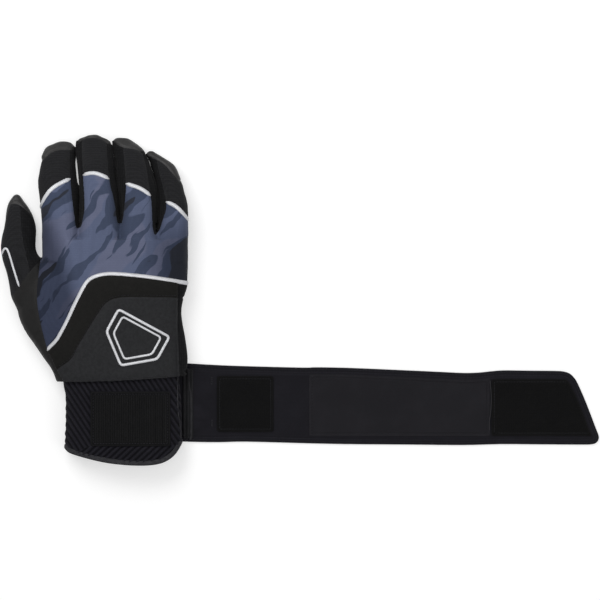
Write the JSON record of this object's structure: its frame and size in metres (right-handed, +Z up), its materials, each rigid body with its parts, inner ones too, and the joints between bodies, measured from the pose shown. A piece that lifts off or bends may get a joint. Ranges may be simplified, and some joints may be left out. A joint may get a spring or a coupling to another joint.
{
  "type": "batting glove",
  "caption": "Right-hand batting glove with a camouflage back, padded guard, hollow fingers that bend and a long wrist strap that folds round its cuff.",
  "frame": {"origin": "on the flat rest face of the palm leather, under the middle of the hand", "axes": "+Z up out of the back of the hand, +Y towards the fingertips, thumb on the -X side, the opened strap along +X"},
  "size_m": [0.4015, 0.221, 0.0287],
  "materials": {
    "camo": "printed stretch knit, matt",
    "black_knit": "black stretch knit",
    "leather": "black palm leather, fine grain",
    "guard_black": "matt black synthetic leather",
    "emblem_grey": "charcoal synthetic leather",
    "silver": "satin silver piping",
    "thread": "silver embroidery",
    "neoprene": "ribbed neoprene with a knit face",
    "strap": "smooth neoprene with a knit face",
    "hook": "hook tape",
    "loop": "loop tape",
    "binding": "woven edge binding",
    "foam": "foam pad with its lining"
  },
  "bodies": {
    "hand": {"palm_leather": "leather", "cuff_palm_side": "neoprene", "thumb_side_panel": "black_knit", "index_middle_web": "black_knit", "middle_ring_web": "black_knit", "ring_little_web": "black_knit", "back_panel": "camo", "guard_foam": "foam", "guard_band": "guard_black", "emblem_panel": "emblem_grey", "guard_piping": "silver", "crest": "thread", "side_gusset": "black_knit", "cuff_back": "neoprene", "hem_binding": "binding", "loop_patch": "loop", "strap_root": "strap"},
    "index_finger": {"index_finger_front": "leather", "index_outer_side": "black_knit", "index_back_panel": "camo", "index_finger_back": "black_knit", "index_knuckle_piping": "silver"},
    "middle_finger": {"middle_finger_front": "leather", "middle_inner_side": "black_knit", "middle_outer_side": "black_knit", "middle_back_panel": "camo", "middle_finger_back": "black_knit", "middle_knuckle_piping": "silver"},
    "ring_finger": {"ring_finger_front": "leather", "ring_inner_side": "black_knit", "ring_outer_side": "black_knit", "ring_back_panel": "camo", "ring_finger_back": "black_knit", "ring_knuckle_piping": "silver"},
    "little_finger": {"little_finger_front": "leather", "little_inner_side": "black_knit", "little_back_panel": "camo", "little_finger_back": "black_knit", "little_knuckle_piping": "silver"},
    "thumb": {"thumb_front": "leather", "thumb_inner_side": "black_knit", "thumb_back": "black_knit", "thumb_piping": "silver"},
    "strap_rise_part": {"strap_rise": "strap", "strap_tab": "binding"},
    "strap_cross_part": {"strap_cross": "strap", "strap_panel_cross": "strap", "near_hook_patch": "hook"},
    "strap_drop_part": {"strap_drop": "strap", "strap_panel_drop": "strap"},
    "strap_under_part": {"strap_under": "strap", "strap_panel_under": "strap", "end_hook_patch_under": "hook"},
    "strap_end_part": {"strap_end": "strap", "end_hook_patch_end": "hook"}
  },
  "joints": [
    {"name": "index_flex", "type": "hinge", "parent": "hand", "child": "index_finger", "pos_m": [-0.0366, 0.07448, 0], "axis": [-1, 0, 0], "range_deg": [0, 60]},
    {"name": "middle_flex", "type": "hinge", "parent": "hand", "child": "middle_finger", "pos_m": [-0.0096, 0.07779, 0], "axis": [-1, 0, 0], "range_deg": [0, 60]},
    {"name": "ring_flex", "type": "hinge", "parent": "hand", "child": "ring_finger", "pos_m": [0.0165, 0.07779, 0], "axis": [-1, 0, 0], "range_deg": [0, 60]},
    {"name": "little_flex", "type": "hinge", "parent": "hand", "child": "little_finger", "pos_m": [0.0388, 0.06961, 0], "axis": [-1, 0, 0], "range_deg": [0, 60]},
    {"name": "thumb_flex", "type": "hinge", "parent": "hand", "child": "thumb", "pos_m": [-0.05895, 0.03481, 0], "axis": [-0.6007, -0.7995, 0], "range_deg": [0, 50]},
    {"name": "strap_root_fold", "type": "hinge", "parent": "hand", "child": "strap_rise_part", "pos_m": [0.04655, -0.04895, 0.0034], "axis": [0, -1, 0], "range_deg": [0, 90]},
    {"name": "strap_back_fold", "type": "hinge", "parent": "strap_rise_part", "child": "strap_cross_part", "pos_m": [0.06735, -0.04895, 0.0034], "axis": [0, -1, 0], "range_deg": [0, 90]},
    {"name": "strap_thumb_side_fold", "type": "hinge", "parent": "strap_cross_part", "child": "strap_drop_part", "pos_m": [0.16174, -0.04895, 0.0034], "axis": [0, -1, 0], "range_deg": [0, 90]},
    {"name": "strap_palm_side_fold", "type": "hinge", "parent": "strap_drop_part", "child": "strap_under_part", "pos_m": [0.18684, -0.04895, 0.0034], "axis": [0, -1, 0], "range_deg": [0, 90]},
    {"name": "strap_end_fold", "type": "hinge", "parent": "strap_under_part", "child": "strap_end_part", "pos_m": [0.28553, -0.04895, 0.0034], "axis": [0, -1, 0], "range_deg": [0, 90]}
  ]
}
